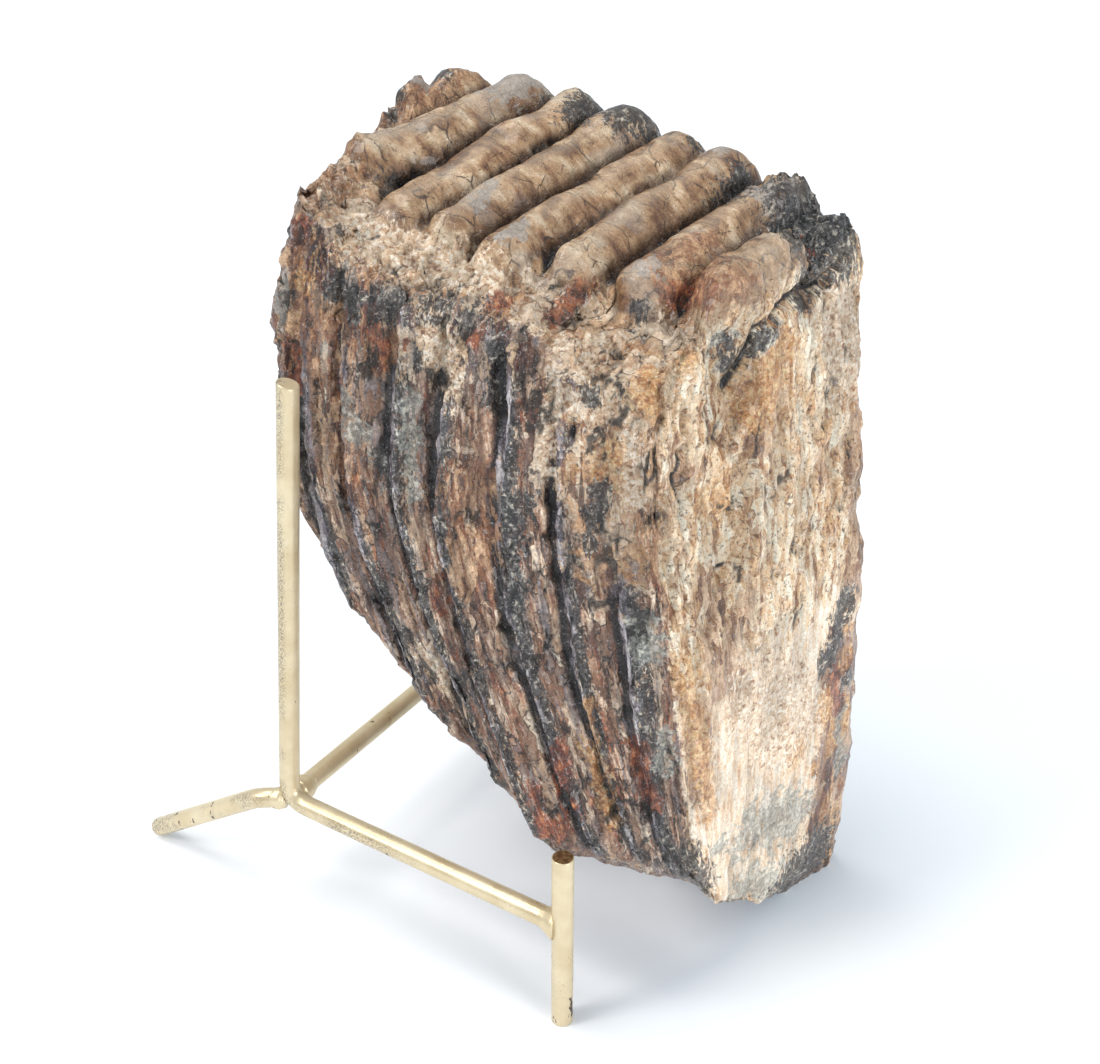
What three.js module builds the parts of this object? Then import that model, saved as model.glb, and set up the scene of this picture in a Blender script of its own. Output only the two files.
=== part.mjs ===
// Fossil mammoth molar on its display stand.
//
// The tooth is one natural piece: a block of upright plates (lamellae) whose edges show as
// ribs down both sides and as ridges across the chewing surface, broken off obliquely below.
// It stands on the toe of that break and leans on a stand bent and welded from round rod.
//
// Millimetres, +Z up, floor at z = 0, origin on the floor under the middle of the whole thing.
import * as THREE from "three";
import { mergeVertices } from "three/addons/utils/BufferGeometryUtils.js";

const degrees = Math.PI / 180;

// ---------------------------------------------------------------- driving dimensions

// Stand
const ROD_DIAMETER = 5;
const ROD_SIDES = 12;
const ARM_HEIGHT = 28.6; // centre line of the two arms above the floor
const ARM_LENGTH = 79.9; // hub centre to post centre
const FRONT_ARM_HEADING = -33.7 * degrees;
const BACK_ARM_HEADING = 58.3 * degrees;
const POST_HEIGHT = 47.9;
const POST_CHAMFER = 0.5;
const UPRIGHT_TOP = [9.9, -8.9, 143.3]; // from the floor under the hub
const HUB_BEND = 6; // length of each leg of the bend at the hub
const REAR_LEG_SEAT = 1.9; // hub centre to the start of the rear leg
const BACK_ARM_SEAT = 2.6; // hub centre to the start of the back arm
const REAR_LEG_KNEE = [-7.5, 0.4, ARM_HEIGHT];
const REAR_LEG_FOOT = [-39.5, 21.4, 2.1];
const REAR_LEG_BEND = 4;
const WELD_GAP = 0.3; // clearance between rods that are welded together

// Tooth: its long axis lies at this heading, and every station below is
// [share of the length, along, across, height] in that turned frame, from the hub.
const TOOTH_HEADING = -30 * degrees;
const CROWN_NEAR = [
  [0, 6.5, 11.5, 181],
  [0.25, 27, 8, 169],
  [0.5, 50, 9, 167],
  [0.75, 73, 10, 162],
  [1, 97, 17, 161],
];
const CROWN_FAR = [
  [0, -9.5, 82, 184],
  [0.25, 20, 83, 189],
  [0.5, 49, 83, 184],
  [0.75, 79, 82, 178.5],
  [1, 105, 80.5, 176],
];
const BREAK_NEAR = [
  [0, 4, 4, 112],
  [0.08, 21, 3, 86.5],
  [0.2, 42, 2, 66.5],
  [0.35, 61, 0, 53.5],
  [0.5, 76, -5.5, 46.5],
  [0.65, 87.5, 3, 42.5],
  [0.85, 98, 12.5, 37.5],
  [1, 102, 23, 20],
];
const BREAK_FAR = [
  [0, -3, 88, 52.3],
  [0.25, 22, 86, 34],
  [0.5, 50, 84, 11],
  [0.7, 76, 82, -5],
  [1, 115.5, 82, -6],
];
const NEAR_BULGE = [
  [0, -5],
  [0.3, -4],
  [0.6, -3],
  [0.8, 0],
  [1, -4],
];
const END_BULGE = 8; // of the last plate, at mid height of its far side
const BACK_BULGE = 5.5; // of the first plate, at mid height of its near side

// The plates stand upright in the crown and sweep forward below this height.
const SWEEP_HEIGHT = 125;
const SWEEP_POWER = 1.35;
const SWEEP_LEAST = 10; // shortest height over which a plate can sweep
const BREAK_BELLY = 1.7; // how full the broken underside is between its two edges
const EDGE_ROUNDING = [0.05, 0.12, 0.07]; // share of length, width and height

// Chewing ridges: [along, across] of the near end and of the far end, and half width
const RIDGES = [
  { near: [-8, 50], far: [7, 80], half: 6 },
  { near: [6, 36], far: [22, 82], half: 7 },
  { near: [24, 20], far: [37, 82], half: 7 },
  { near: [34, 20], far: [50, 82], half: 6.5 },
  { near: [50, 16], far: [64, 82], half: 7 },
  { near: [62, 24], far: [74, 82], half: 6.5 },
  { near: [77, 22], far: [88, 82], half: 7 },
  { near: [94, 22], far: [97, 64], half: 6.5 },
  { near: [102, 42], far: [109, 84], half: 4 },
];
const RIDGE_HEIGHT = 8.5;
const RIDGE_END = 6; // length over which a ridge sinks into the cement
const RIDGE_SINK = [0.5, 0.8]; // share of its height a ridge still has at its near and far end
const VALLEY_FLOOR = -4; // valleys and the cement rim, against the smooth crown
const RIM_WIDTH = 0.93; // share of the height above which the crown is worn

// Ribs of the plates on the two sides: [share of the length of the crest, height of the rib]
const RIBS = [
  [0.08, 3],
  [0.2, 4],
  [0.35, 4.2],
  [0.47, 3.6],
  [0.61, 3.8],
  [0.72, 2.8],
  [0.83, 2.2],
  [0.97, 1.8],
];
const RIB_OUTER = [0.06, 0.05]; // reach of the first and the last rib towards the two ends
const RIB_WANDER = 0.01; // share of the length by which a crest strays as it rises
const RIB_WAVE = 107; // height of one such wave
const RIB_PHASE = 9; // by how much it differs from one end of the tooth to the other, radians
const RIB_FLOOR = 2; // grooves between ribs, below the mean side
const RIB_FADE = 0.15; // share of the height over which the ribs run out under the cement
const SKIN = 0.1; // share of the width in which the side relief dies out

// The last plate is broken off beside the near corner of the end face.
const STEP_DEPTH = 4.5;
const STEP_ACROSS = [0.22, 0.34];
const STEP_HEIGHT = [70, 125];

// Fine relief: lumps of cement on the crown, fibres down the two ends
const LUMPS = [
  { rise: 0.8, along: 17, across: 19, phase: 0.9 },
  { rise: 0.5, along: 12, across: 10, phase: 2.1 },
];
const FLUTE_HEIGHT = 0.7;
const FLUTE_WIDTH = 19;
const FLUTE_WANDER = 145; // height of one wave of a flute
const BAND_HEIGHT = 0.35; // of the plates' bands across the break, as a share of a rib

const CELLS = { length: 54, width: 16, height: 15 };

// ---------------------------------------------------------------- small helpers

const clamp = THREE.MathUtils.clamp;
const lerp = THREE.MathUtils.lerp;
const smoothstep = THREE.MathUtils.smoothstep;

/** A smooth curve through stations [x, ...values], evaluated at x. */
function through(stations, x) {
  const last = stations.length - 1;
  let i = 0;
  while (i < last - 1 && x > stations[i + 1][0]) i += 1;
  const slope = (k, c) => {
    const a = stations[Math.max(k, 0)];
    const b = stations[Math.min(k + 1, last)];
    return (b[c] - a[c]) / (b[0] - a[0]);
  };
  const tangent = (k, c) => {
    if (k === 0) return slope(0, c);
    if (k === last) return slope(last - 1, c);
    return (slope(k - 1, c) + slope(k, c)) / 2;
  };
  const [p, q] = [stations[i], stations[i + 1]];
  const h = q[0] - p[0];
  const s = clamp((x - p[0]) / h, 0, 1);
  const values = [];
  for (let c = 1; c < p.length; c += 1) {
    const start = (1 + 2 * s) * (1 - s) ** 2 * p[c] + s * (1 - s) ** 2 * h * tangent(i, c);
    const end = s * s * (3 - 2 * s) * q[c] + s * s * (s - 1) * h * tangent(i + 1, c);
    values.push(start + end);
  }
  return values;
}

const wave = (x, length, phase) => Math.sin((2 * Math.PI * x) / length + phase);

/** Half-round profile: 1 on the crest, 0 at the foot. */
const halfRound = (distance) => Math.sqrt(Math.max(0, 1 - distance ** 2));

// ---------------------------------------------------------------- the tooth

/** One side of the tooth, between its crown edge and its broken edge. */
function sideFace(crown, broken, u, t) {
  const [topAlong, topAcross, topHeight] = through(crown, u);
  const [lowAlong, lowAcross, lowHeight] = through(broken, u);
  const height = lerp(lowHeight, topHeight, t);
  const below = (SWEEP_HEIGHT - height) / (SWEEP_HEIGHT - Math.min(lowHeight, SWEEP_HEIGHT - SWEEP_LEAST));
  const sweep = clamp(below, 0, 1) ** SWEEP_POWER;
  return [lerp(topAlong, lowAlong, sweep), lerp(lowAcross, topAcross, t), height];
}

/** Rounds the edges and corners of the unit cube that the tooth is mapped from. */
function roundCube(point) {
  const inner = point.map((x, i) => clamp(x, EDGE_ROUNDING[i], 1 - EDGE_ROUNDING[i]));
  const out = point.map((x, i) => (x - inner[i]) / EDGE_ROUNDING[i]);
  const reach = Math.max(Math.hypot(...out), 1e-9);
  return inner.map((x, i) => x + (out[i] / reach) * EDGE_ROUNDING[i]);
}

function ridgeRelief(along, across) {
  let height = 0;
  for (const { near, far, half } of RIDGES) {
    const share = (across - near[1]) / (far[1] - near[1]);
    const crest = lerp(near[0], far[0], share);
    const start = clamp((across - near[1]) / RIDGE_END + RIDGE_SINK[0], 0, 1);
    const finish = clamp((far[1] - across) / RIDGE_END + RIDGE_SINK[1], 0, 1);
    height = Math.max(height, halfRound((along - crest) / half) * start * finish);
  }
  return height * RIDGE_HEIGHT;
}

function ribRelief(u, t, height) {
  let relief = 0;
  RIBS.forEach(([share, rise], i) => {
    const before = i > 0 ? (share - RIBS[i - 1][0]) / 2 : RIB_OUTER[0];
    const after = i < RIBS.length - 1 ? (RIBS[i + 1][0] - share) / 2 : RIB_OUTER[1];
    const crest = share + RIB_WANDER * wave(height, RIB_WAVE, RIB_PHASE * share);
    relief = Math.max(relief, rise * halfRound((u - crest) / (u < crest ? before : after)));
  });
  return (relief - RIB_FLOOR) * clamp((1 - t) / RIB_FADE, 0, 1);
}

function lumps(along, across) {
  let height = 0;
  for (const lump of LUMPS) {
    height += lump.rise * wave(along, lump.along, lump.phase) * wave(across, lump.across, lump.phase);
  }
  return height;
}

/** Shallow upright flutes, where the fibres of a plate lie open on an end of the tooth. */
function flutes(across, height) {
  return FLUTE_HEIGHT * wave(across, FLUTE_WIDTH, wave(height, FLUTE_WANDER, 0));
}

/** Maps a point of the unit cube's surface to the tooth: [along, across, height]. */
function toothPoint(cube) {
  const [u, v, t] = roundCube(cube);
  const near = sideFace(CROWN_NEAR, BREAK_NEAR, u, t);
  const far = sideFace(CROWN_FAR, BREAK_FAR, u, t);
  near[1] += through(NEAR_BULGE, u)[0] * Math.sin(Math.PI * t);
  const fuller = lerp(1 - (1 - v) ** BREAK_BELLY, v, t);
  let along = lerp(near[0], far[0], v);
  let across = lerp(near[1], far[1], v);
  let height = lerp(near[2], far[2], fuller);

  const side = clamp((v - 1) / SKIN + 1, 0, 1) - clamp(1 - v / SKIN, 0, 1);
  const rib = ribRelief(u, t, height);
  across += side * rib;

  const end = clamp((u - 1) / SKIN + 1, 0, 1);
  const lost = (1 - smoothstep(v, ...STEP_ACROSS)) * smoothstep(height, ...STEP_HEIGHT);
  along -= end * STEP_DEPTH * lost;
  const back = clamp(1 - u / SKIN, 0, 1);
  along += (end - back) * flutes(across, height);
  along += (end * END_BULGE * v - back * BACK_BULGE * (1 - v)) * Math.sin(Math.PI * t);

  const crown = clamp((t - RIM_WIDTH) / (1 - RIM_WIDTH), 0, 1);
  height += crown * (VALLEY_FLOOR + ridgeRelief(along, across) + lumps(along, across));
  height -= clamp(1 - t / (1 - RIM_WIDTH), 0, 1) * BAND_HEIGHT * rib;
  return [along, across, Math.max(height, 0)];
}

function toothGeometry() {
  const { length, width, height } = CELLS;
  const [cos, sin] = [Math.cos(TOOTH_HEADING), Math.sin(TOOTH_HEADING)];
  const positions = [];
  const corner = (i, j, k) => {
    const [along, across, up] = toothPoint([i / length, j / width, k / height]);
    positions.push(along * cos - across * sin, along * sin + across * cos, up);
  };
  const quad = (a, b, c, d) => [a, b, c, a, c, d].forEach((p) => corner(...p));
  for (let i = 0; i < length; i += 1) {
    for (let j = 0; j < width; j += 1) {
      quad([i, j, height], [i + 1, j, height], [i + 1, j + 1, height], [i, j + 1, height]);
      quad([i, j, 0], [i, j + 1, 0], [i + 1, j + 1, 0], [i + 1, j, 0]);
    }
    for (let k = 0; k < height; k += 1) {
      quad([i, 0, k], [i + 1, 0, k], [i + 1, 0, k + 1], [i, 0, k + 1]);
      quad([i, width, k], [i, width, k + 1], [i + 1, width, k + 1], [i + 1, width, k]);
    }
  }
  for (let j = 0; j < width; j += 1) {
    for (let k = 0; k < height; k += 1) {
      quad([0, j, k], [0, j, k + 1], [0, j + 1, k + 1], [0, j + 1, k]);
      quad([length, j, k], [length, j + 1, k], [length, j + 1, k + 1], [length, j, k + 1]);
    }
  }
  const geometry = new THREE.BufferGeometry();
  geometry.setAttribute("position", new THREE.Float32BufferAttribute(positions, 3));
  return mergeVertices(geometry, 1e-4);
}

// ---------------------------------------------------------------- the stand

const heading = (angle) => new THREE.Vector3(Math.cos(angle), Math.sin(angle), 0);
const hub = new THREE.Vector3(0, 0, ARM_HEIGHT);
const rodRadius = ROD_DIAMETER / 2;

function rodSection() {
  const section = new THREE.Shape();
  for (let i = 0; i < ROD_SIDES; i += 1) {
    const turn = (2 * Math.PI * i) / ROD_SIDES;
    const point = [rodRadius * Math.cos(turn), rodRadius * Math.sin(turn)];
    if (i === 0) section.moveTo(...point);
    else section.lineTo(...point);
  }
  section.closePath();
  return section;
}

/** A round rod bent once, at the knee. */
function bentRod(start, knee, end, bend, steps) {
  const path = new THREE.CurvePath();
  const into = knee.clone().add(start.clone().sub(knee).setLength(bend));
  const outOf = knee.clone().add(end.clone().sub(knee).setLength(bend));
  path.add(new THREE.LineCurve3(start, into));
  path.add(new THREE.QuadraticBezierCurve3(into, knee, outOf));
  path.add(new THREE.LineCurve3(outOf, end));
  return new THREE.ExtrudeGeometry(rodSection(), { extrudePath: path, steps, curveSegments: 1 });
}

function straightRod(start, end) {
  const path = new THREE.LineCurve3(start, end);
  return new THREE.ExtrudeGeometry(rodSection(), { extrudePath: path, steps: 1, curveSegments: 1 });
}

/** A short upright rod with its two ends slightly rounded over. */
function postGeometry() {
  const profile = [
    [0, 0],
    [rodRadius - POST_CHAMFER, 0],
    [rodRadius, POST_CHAMFER],
    [rodRadius, POST_HEIGHT - POST_CHAMFER],
    [rodRadius - POST_CHAMFER, POST_HEIGHT],
    [0, POST_HEIGHT],
  ].map(([x, y]) => new THREE.Vector2(x, y));
  return new THREE.LatheGeometry(profile, ROD_SIDES).rotateX(90 * degrees);
}

// ---------------------------------------------------------------- materials

const fossil = () => new THREE.MeshStandardMaterial({ color: 0x9a7f68, roughness: 0.75, metalness: 0 });
const goldPaint = () => new THREE.MeshStandardMaterial({ color: 0xc9ae7c, roughness: 0.4, metalness: 0.6 });

// ---------------------------------------------------------------- assembly

const part = new THREE.Group();

function addPiece(name, geometry, material) {
  const mesh = new THREE.Mesh(geometry, material);
  mesh.name = name;
  part.add(mesh);
  return mesh;
}

addPiece("mammoth_molar", toothGeometry(), fossil());

const postGap = rodRadius + WELD_GAP;
const frontDirection = heading(FRONT_ARM_HEADING);
const backDirection = heading(BACK_ARM_HEADING);
const frontArmEnd = hub.clone().addScaledVector(frontDirection, ARM_LENGTH - postGap);
const backArmStart = hub.clone().addScaledVector(backDirection, BACK_ARM_SEAT);
const backArmEnd = hub.clone().addScaledVector(backDirection, ARM_LENGTH - postGap);

addPiece(
  "upright_and_front_arm",
  bentRod(new THREE.Vector3(...UPRIGHT_TOP), hub, frontArmEnd, HUB_BEND, 32),
  goldPaint(),
);
addPiece("front_post", postGeometry(), goldPaint()).position.copy(frontDirection).setLength(ARM_LENGTH);
addPiece("back_arm", straightRod(backArmStart, backArmEnd), goldPaint());
addPiece("back_post", postGeometry(), goldPaint()).position.copy(backDirection).setLength(ARM_LENGTH);

const knee = new THREE.Vector3(...REAR_LEG_KNEE);
const rearLegStart = hub.clone().add(knee.clone().sub(hub).setLength(REAR_LEG_SEAT));
addPiece(
  "rear_leg",
  bentRod(rearLegStart, knee, new THREE.Vector3(...REAR_LEG_FOOT), REAR_LEG_BEND, 14),
  goldPaint(),
);

// The whole part is moved so that its origin lies under the middle of its box.
const middle = new THREE.Box3().setFromObject(part, true).getCenter(new THREE.Vector3());
const object = new THREE.Group();
part.position.set(-middle.x, -middle.y, 0);
object.add(part);

export default object;
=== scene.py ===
# Looks for a fossil mammoth molar on its display stand.
#
# Metres in the part's frame, +Z up, floor at z = 0. The tooth is modelled in millimetres in a frame
# of its own: along the tooth, across it, and height.
import itertools
import math
from functools import partialmethod

import bpy
import numpy as np
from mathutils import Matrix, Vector


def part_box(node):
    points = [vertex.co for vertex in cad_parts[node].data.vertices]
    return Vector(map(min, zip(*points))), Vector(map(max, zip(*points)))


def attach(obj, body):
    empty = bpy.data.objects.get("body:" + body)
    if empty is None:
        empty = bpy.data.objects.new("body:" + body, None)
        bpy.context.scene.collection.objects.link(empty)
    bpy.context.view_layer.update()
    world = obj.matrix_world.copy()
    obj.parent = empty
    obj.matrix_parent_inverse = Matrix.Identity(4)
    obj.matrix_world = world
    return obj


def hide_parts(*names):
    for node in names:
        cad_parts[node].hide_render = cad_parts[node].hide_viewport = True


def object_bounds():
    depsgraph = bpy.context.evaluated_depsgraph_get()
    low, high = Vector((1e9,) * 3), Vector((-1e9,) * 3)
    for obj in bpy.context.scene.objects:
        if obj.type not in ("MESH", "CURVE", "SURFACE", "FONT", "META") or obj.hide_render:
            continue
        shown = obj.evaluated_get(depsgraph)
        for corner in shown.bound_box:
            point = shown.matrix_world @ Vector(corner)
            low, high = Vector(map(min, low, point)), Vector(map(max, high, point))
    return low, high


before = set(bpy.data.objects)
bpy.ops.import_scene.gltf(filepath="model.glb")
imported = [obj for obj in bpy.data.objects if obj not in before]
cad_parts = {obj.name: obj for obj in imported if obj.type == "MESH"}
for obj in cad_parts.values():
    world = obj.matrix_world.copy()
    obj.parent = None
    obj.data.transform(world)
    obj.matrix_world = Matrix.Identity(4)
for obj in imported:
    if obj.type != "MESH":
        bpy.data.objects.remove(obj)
cad_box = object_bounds()

MM = 0.001
ROD_RADIUS = 2.5
ARM_HEIGHT = 28.6
ARM_LENGTH = 79.9
FRONT_ARM = math.radians(-33.7)
BACK_ARM = math.radians(58.3)
POST_HEIGHT = 47.9
UPRIGHT_TOP = (9.9, -8.9, 143.3)
HUB_BEND = 6.0
REAR_LEG_KNEE = (-7.5, 0.4, ARM_HEIGHT)
REAR_LEG_FOOT = (-39.5, 21.4, 2.1)
REAR_LEG_BEND = 4.0
TOOTH_HEADING = math.radians(-30)


def heading(angle):
    return np.array([math.cos(angle), math.sin(angle), 0.0])


# The floor under the hub, from the middle of the front post
low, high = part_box("front_post")
HUB = np.array([(low.x + high.x) / 2 / MM, (low.y + high.y) / 2 / MM, 0]) - ARM_LENGTH * heading(FRONT_ARM)


def add_object(name, data):
    thing = bpy.data.objects.new(name, data)
    bpy.context.scene.collection.objects.link(thing)
    return thing


# ---------------- camera

CAMERA_PLACE = (63.7, -310.5, 275.5)  # from the hub, mm
CAMERA_PITCH = math.radians(29.05)
CAMERA_LENS = 52.36

camera_data = bpy.data.cameras.new("camera")
camera_data.sensor_fit = "HORIZONTAL"
camera_data.sensor_width = 36
camera_data.lens = CAMERA_LENS
camera_data.clip_start = 0.01
camera = add_object("camera", camera_data)
camera.location = (HUB + CAMERA_PLACE) * MM
camera.rotation_euler = (math.pi / 2 - CAMERA_PITCH, 0, 0)
bpy.context.scene.camera = camera

# ---------------- noise


def lengths(vectors):
    return np.linalg.norm(vectors, axis=1)


def noise(points, size, seed):
    """Smooth noise, about -1 to 1, with bumps of the given size."""
    points = points / size
    cell = np.floor(points).astype(np.int64)
    inside = points - cell
    ease = inside**3 * (inside * (inside * 6 - 15) + 10)
    total = np.zeros(len(points))
    for corner in itertools.product((0, 1), repeat=3):
        gradient = scatter(cell + corner, seed) * 2 - 1
        weight = np.where(corner, ease, 1 - ease).prod(axis=1)
        total += weight * (gradient * (inside - corner)).sum(axis=1)
    return total * 1.4


def scatter(cell, seed):
    """Three repeatable numbers from 0 to 1 for each whole-number cell."""
    mixed = (cell * (73856093, 19349663, 83492791)).sum(axis=1) + seed * 912271
    mixed = mixed & 0xFFFFFFFF
    for shift, factor in ((15, 2246822519), (13, 3266489917), (16, 668265263)):
        mixed = ((mixed ^ (mixed >> shift)) * factor) & 0xFFFFFFFF
    return np.stack([(mixed >> k & 1023) / 1023 for k in (0, 10, 20)], axis=1)


def fractal(points, size, octaves, seed):
    return sum(noise(points, size / 2**k, seed + k) / 1.8**k for k in range(octaves))


def cells(points, size, seed):
    """Distances to the two nearest of scattered points, and the nearest one's number."""
    points = points / size
    cell = np.floor(points).astype(np.int64)
    first = np.full(len(points), 9.0)
    second = first.copy()
    own = np.zeros(len(points))
    for step in itertools.product((-1, 0, 1), repeat=3):
        other = cell + step
        spread = scatter(other, seed)
        distance = lengths(other + spread - points)
        second = np.minimum(second, np.maximum(first, distance))
        own = np.where(distance < first, scatter(other, seed + 1)[:, 0], own)
        first = np.minimum(first, distance)
    return first, second, own


def away_from(path, places):
    """Distance of every place from a line through points."""
    path = np.array(path, float).reshape(-1, 3)
    least = lengths(places - path[0])
    for start, end in itertools.pairwise(path):
        step = end - start
        share = np.clip((places - start) @ step / (step @ step), 0, 1)
        gap = lengths(places - start - share[:, None] * step)
        least = np.minimum(least, gap)
    return least


def step_up(x, low, high):
    x = np.clip((x - low) / (high - low), 0, 1)
    return x * x * (3 - 2 * x)


def bump(x):
    return np.exp(-(x**2))


def seam(cell, width):
    """1 where two cells meet."""
    return bump((cell[1] - cell[0]) / width)


def unit(vector):
    return vector / np.linalg.norm(vector)


# ---------------- the tooth's shape

# The same stations as the solid: [share of the length, along, across, height], mm
CROWN_NEAR = [
    [0, 6.5, 11.5, 181], [0.25, 27, 8, 169], [0.5, 50, 9, 167], [0.75, 73, 10, 162], [1, 97, 17, 161],
]
CROWN_FAR = [
    [0, -9.5, 82, 184], [0.25, 20, 83, 189], [0.5, 49, 83, 184], [0.75, 79, 82, 178.5], [1, 105, 80.5, 176],
]
BREAK_NEAR = [
    [0, 4, 4, 112], [0.08, 21, 3, 86.5], [0.2, 42, 2, 66.5], [0.35, 61, 0, 53.5], [0.5, 76, -5.5, 46.5],
    [0.65, 87.5, 3, 42.5], [0.85, 98, 12.5, 37.5], [1, 102, 23, 20],
]
BREAK_FAR = [
    [0, -3, 88, 52.3], [0.25, 22, 86, 34], [0.5, 50, 84, 11], [0.7, 76, 82, -5], [1, 115.5, 82, -6],
]
NEAR_BULGE = [[0, -5], [0.3, -4], [0.6, -3], [0.8, 0], [1, -4]]
END_BULGE = 8
BACK_BULGE = 5.5
SWEEP_HEIGHT = 125
SWEEP_POWER = 1.35
SWEEP_LEAST = 10
BREAK_BELLY = 1.7
EDGE_ROUNDING = np.array([0.05, 0.12, 0.07])
SKIN = 0.1
RIM_WIDTH = 0.93

# Chewing ridges: near end (along, across), far end, half width
RIDGES = [
    (-5, 50, 8, 80, 7.5), (8, 33, 25, 82, 8), (25.5, 21, 38.5, 82, 7.2),
    (35, 20, 52, 82, 7), (50.5, 18, 65, 82, 7.4), (63, 23, 76, 82, 7.2),
    (77, 22, 90, 82, 7.8), (94, 26, 98, 56, 7.5),
]
# Places along the ridges that swell: ridge, across, share
KNOTS = [
    (1, 62, 0.12), (1, 40, -0.1), (2, 57, 0.14), (2, 76, 0.16), (2, 66, -0.1), (3, 74, 0.2), (3, 62, -0.08),
    (4, 24, 0.12), (4, 46, -0.08), (5, 45, 0.12), (5, 36, -0.1), (5, 71, 0.14), (6, 29, 0.12), (6, 60, -0.1),
    (7, 33, 0.2),
]
RIDGE_TOP = 4.6
RIDGE_END = 3.5
RIDGE_SINK = (0.25, 0.6)
RIDGE_DROP = 7
RIDGE_CROWDING = 0.5  # a ridge's half width, at most, against the distance to the next
VALLEY_FLOOR = -5
RIM_FLOOR = [(0, -0.5), (30, -1.5), (55, -3.2), (100, -3.2)]  # along, height

# Crests of the ribs, the first and last beyond the ends: share of the length, rise
RIBS = [
    (-0.04, 2.5), (0.08, 3), (0.2, 4), (0.35, 4.2), (0.47, 3.6), (0.61, 3.8), (0.72, 2.8), (0.83, 2.2),
    (1.08, 1.5),
]
RIB_WANDER = 0.01
RIB_WAVE = 107
RIB_PHASE = 9
RIB_FADE = 0.12
# A rib's section, from its crest to the next one: share of the way, height
RIB_SECTION = [
    (0, 1.9), (0.06, 1.9), (0.2, 1.2), (0.45, 0.7), (0.6, 0.0), (0.7, -0.6), (0.77, -2.0), (0.83, -1.3),
    (0.93, 1.0), (1, 1.9),
]

# A step in the end face, in shares of the width, and mm up
STEP_DEPTH = 4.5
STEP_ACROSS = (0.22, 0.34)
STEP_HEIGHT = (70, 125)

# The two ends of each fade from one kind of surface to another, mm unless it says share
SHEET_ALONG = (0.68, 0.8)  # share
SHEET_HEIGHT = (96, 118)
CROWN_EDGE = (84, 108, 9)  # across, along, width of the slope down to it
FAR_CRUST = (146, 156)  # along and across together
FAR_CRUST_ALONG = (78, 85)
BACK_CRUST = (-6, 0)  # of minus along
END_CRUST = (90, 98)
POROUS_HEIGHT = (85, 105)
SMOOTH_HEIGHT = (70, 100)
STRIP_ACROSS = (60.5, 64)
STRIP_HEIGHT = (74, 80)
UNDER_RIM_HEIGHT = (146, 152)
UNDER_RIM_ALONG = (0.6, 0.68)  # share
BAND_ALONG = (0.2, 0.45)  # share
BAND_HEIGHT = (95, 125)
PLATE_LENGTH = 110  # of the tooth, for the grain
RIB_NUMBER = 3.5  # the rib height that the section is drawn for

CELLS = (172, 96, 120)  # along, across, up

# Cracks and hollows: width, depth, then a line of places (along, across, height)
CUTS = [
    (1.3, 2.4, (106, 74, 168), (104, 60, 160.5), (101.5, 51, 161.5), (100.5, 43, 160), (100, 37, 158)),
    (1.1, 2.0, (100, 37, 158), (99, 36, 154), (97.5, 34.5, 151), (96.5, 33.5, 149), (96, 32.5, 146)),
    (2.6, 0.8, (104, 62, 161), (101.5, 50, 161.5)),
    (1, 1.8, (92, 21, 146), (92, 19, 138), (92, 18, 132), (94, 21, 124)),
    (0.9, 1.4, (81, 15, 158), (80, 13, 150)), (0.9, 1.2, (75, 12, 156), (74, 10, 147), (73, 9, 140)),
    (1, 1.4, (97, 30, 106), (99, 34, 108), (101, 37, 110)), (0.9, 1.0, (108, 62, 142), (108, 62, 132)),
    (0.9, 0.8, (109, 58, 52), (110, 60, 42), (110, 60, 36)), (1.4, 1.4, (15, 14, 171), (18, 13, 170)),
    (1.4, 1.8, (5, 66, 190), (7, 62, 189)), (0.9, 1.4, (68, 66, 184), (70, 60, 183), (71, 72, 184)),
    (0.8, 1.2, (55, 52, 182), (60, 58, 182)),
]
# Lumps and dents: reach, height, place
LUMPS = [
    (5.5, -1.4, (100, 38, 152)), (3.2, -3.5, (14, 18, 170)), (4, 1.5, (22, 20, 172)), (5.5, 2, (47, 15, 166)),
    (7, 2.6, (93, 36, 168)), (6, 2, (96, 46, 170)), (4, -3, (73, 23, 164)), (4.5, 2, (97, 66, 175)),
    (3.5, -3, (93, 56, 174)), (3.5, 2.2, (104, 74, 172)), (3.5, 2, (0, 62, 186)), (5, 1.4, (42, 68, 187)),
    (6, 1.8, (51, 71, 187)), (4, 1.6, (88, 64, 176)), (3.5, 1.6, (27, 21, 173)), (3, -1.6, (32, 52, 184)),
    (3, -1.8, (14, 36, 181)), (3, 1.6, (5, 72, 188)),
]
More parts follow.
